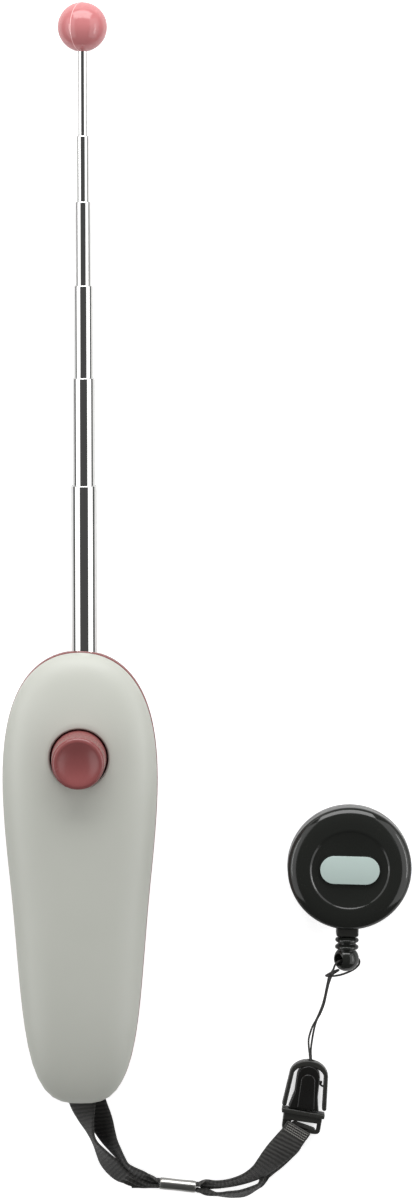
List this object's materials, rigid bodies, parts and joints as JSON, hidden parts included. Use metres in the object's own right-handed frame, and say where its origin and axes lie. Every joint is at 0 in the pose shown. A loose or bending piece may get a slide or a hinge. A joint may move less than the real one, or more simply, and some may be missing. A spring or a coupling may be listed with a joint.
{
  "type": "target stick",
  "caption": "Telescoping target stick with a ball tip, a clicker handle with a push button, and a wrist strap that leads through a quick-release buckle to a retractable reel.",
  "frame": {"origin": "middle of the handle's flat back, on the surface that the stick lies on", "axes": "+Y along the mast towards the ball, +Z out of the grey front of the handle, +X to the side where the strap and reel lie"},
  "size_m": [0.1103, 0.3247, 0.0326],
  "materials": {
    "grey_shell": "fine matte moulding",
    "rose_plastic": "smooth moulded gloss",
    "chrome": "bright polished",
    "steel": "polished steel",
    "brass": "turned",
    "white_plastic": "moulded",
    "black_gloss": "high gloss",
    "black_satin": "satin moulding",
    "black_webbing": "woven nylon webbing",
    "black_cord": "braided nylon cord",
    "pale_plate": "printed film, bare"
  },
  "bodies": {
    "handle": {"front_shell": "grey_shell", "back_shell": "rose_plastic", "handle_screw_1": "steel", "handle_screw_2": "steel", "handle_screw_3": "steel", "mast_guide": "white_plastic", "clicker_base": "white_plastic", "strap_pin": "steel"},
    "mast_6": {"mast_section_6": "chrome", "mast_stop": "brass"},
    "mast_5": {"mast_section_5": "chrome"},
    "mast_4": {"mast_section_4": "chrome"},
    "mast_3": {"mast_section_3": "chrome"},
    "mast_2": {"mast_section_2": "chrome"},
    "mast_1": {"mast_section_1": "chrome", "tip_ball": "rose_plastic"},
    "button": {"clicker_button": "rose_plastic"},
    "leaf": {"clicker_leaf": "steel"},
    "strap": {"strap_outer_run": "black_webbing", "strap_inner_run": "black_webbing", "strap_crimp": "steel"},
    "plug": {"buckle_plug": "black_satin"},
    "arch": {"buckle_arch": "black_satin", "cord_knot": "black_cord"},
    "cord": {"loop_cord": "black_cord", "cord_stopper": "black_gloss", "reel_pull_cord": "black_cord"},
    "reel": {"reel_front_case": "black_gloss", "reel_back_case": "black_gloss", "reel_face_plate": "pale_plate", "reel_outlet": "black_satin", "reel_axle": "steel", "reel_spiral_spring": "steel", "clip_rivet": "steel"},
    "spool": {"reel_spool": "white_plastic", "reel_cord_winding": "black_cord"},
    "clip": {"belt_clip": "steel"}
  },
  "joints": [
    {"name": "mast_6_slide", "type": "slide", "parent": "handle", "child": "mast_6", "axis": [0, 1, 0], "range_m": [-0.0432, 0.0316]},
    {"name": "mast_5_slide", "type": "slide", "parent": "mast_6", "child": "mast_5", "axis": [0, 1, 0], "range_m": [-0.0276, 0.0532]},
    {"name": "mast_4_slide", "type": "slide", "parent": "mast_5", "child": "mast_4", "axis": [0, 1, 0], "range_m": [-0.0234, 0.0574]},
    {"name": "mast_3_slide", "type": "slide", "parent": "mast_4", "child": "mast_3", "axis": [0, 1, 0], "range_m": [-0.021, 0.0598]},
    {"name": "mast_2_slide", "type": "slide", "parent": "mast_3", "child": "mast_2", "axis": [0, 1, 0], "range_m": [-0.0162, 0.0646]},
    {"name": "mast_1_slide", "type": "slide", "parent": "mast_2", "child": "mast_1", "axis": [0, 1, 0], "range_m": [-0.0208, 0.054]},
    {"name": "button_press", "type": "slide", "parent": "handle", "child": "button", "axis": [0, 0, -1], "range_m": [0, 0.0024], "stiffness_N_per_m": 800},
    {"name": "leaf_flex", "type": "hinge", "parent": "handle", "child": "leaf", "pos_m": [0, 0.0216, 0.0178], "axis": [1, 0, 0], "range_deg": [-11.6, 0]},
    {"name": "strap_swing", "type": "hinge", "parent": "handle", "child": "strap", "pos_m": [0, -0.0545, 0.0072], "axis": [-1, 0, 0], "range_deg": [-12, 38]},
    {"name": "buckle_swing", "type": "hinge", "parent": "strap", "child": "plug", "pos_m": [0.05962, -0.07309, 0.0024], "axis": [0.9903, -0.1392, 0], "range_deg": [-10, 20]},
    {"name": "buckle_release", "type": "slide", "parent": "plug", "child": "arch", "axis": [0.1392, 0.9903, 0], "range_m": [0, 0.0092]},
    {"name": "cord_swing", "type": "hinge", "parent": "arch", "child": "cord", "pos_m": [0.06251, -0.05249, 0.0024], "axis": [0, 0, 1], "range_deg": [-40, 25]},
    {"name": "reel_pull", "type": "slide", "parent": "cord", "child": "reel", "axis": [0.0279, 0.9996, 0], "range_m": [0, 0.45], "stiffness_N_per_m": 0.3, "springref_m": -1},
    {"name": "spool_turn", "type": "hinge", "parent": "reel", "child": "spool", "pos_m": [0.0726, 0.0022, 0.0082], "axis": [0, 0, 1], "range_deg": [0, 2975]},
    {"name": "clip_swivel", "type": "hinge", "parent": "reel", "child": "clip", "pos_m": [0.0726, 0.0022, 0], "axis": [0, 0, 1], "continuous": true}
  ],
  "couplings": [
    {"joint": "leaf_flex", "follows": "button_press", "rad_per_m": -82},
    {"joint": "spool_turn", "follows": "reel_pull", "rad_per_m": 115}
  ]
}
